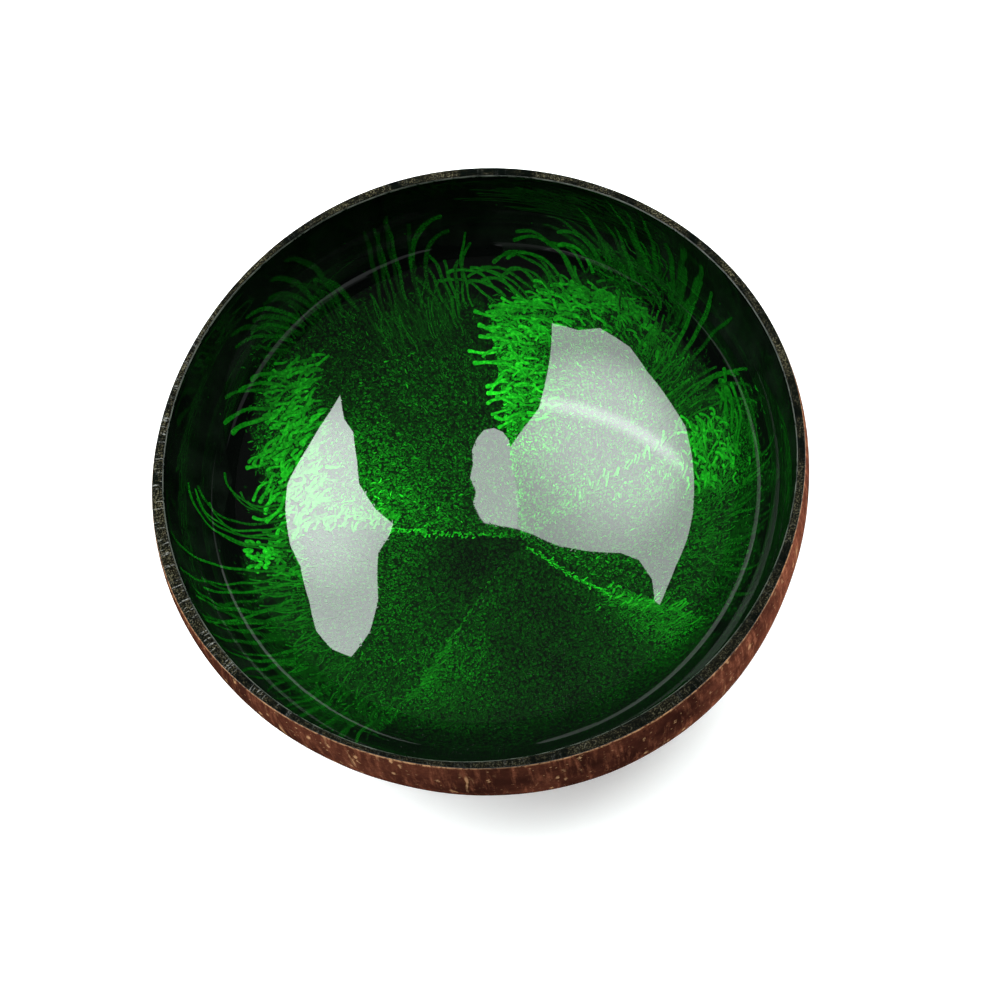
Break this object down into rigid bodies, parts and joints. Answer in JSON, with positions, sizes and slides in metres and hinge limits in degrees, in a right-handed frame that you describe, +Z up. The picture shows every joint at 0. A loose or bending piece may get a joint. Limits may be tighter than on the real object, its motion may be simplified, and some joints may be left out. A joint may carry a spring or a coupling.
{
  "type": "coconut shell bowl",
  "caption": "Half coconut shell bowl with a flat sanded foot and a level cut rim, lined with black lacquer, swirled green metallic petals and a clear top coat",
  "frame": {"origin": "Middle of the flat foot, on the table; the middle of the underside of the bounding box", "axes": "+Z is up, square to the cut rim. +X is to the right and -Y towards the viewer in the picture. The row's axes are turned by nothing else."},
  "size_m": [0.1368, 0.1364, 0.052],
  "materials": {
    "shell": "polished",
    "black_lacquer": "gloss",
    "green_lacquer": "metallic gloss",
    "clear_lacquer": "clear gloss"
  },
  "bodies": {
    "root": {"coconut_shell": "shell", "black_base_coat": "black_lacquer", "green_petal_1": "green_lacquer", "green_petal_2": "green_lacquer", "green_petal_3": "green_lacquer", "green_petal_4": "green_lacquer", "green_petal_5": "green_lacquer", "clear_top_coat": "clear_lacquer"}
  },
  "joints": []
}
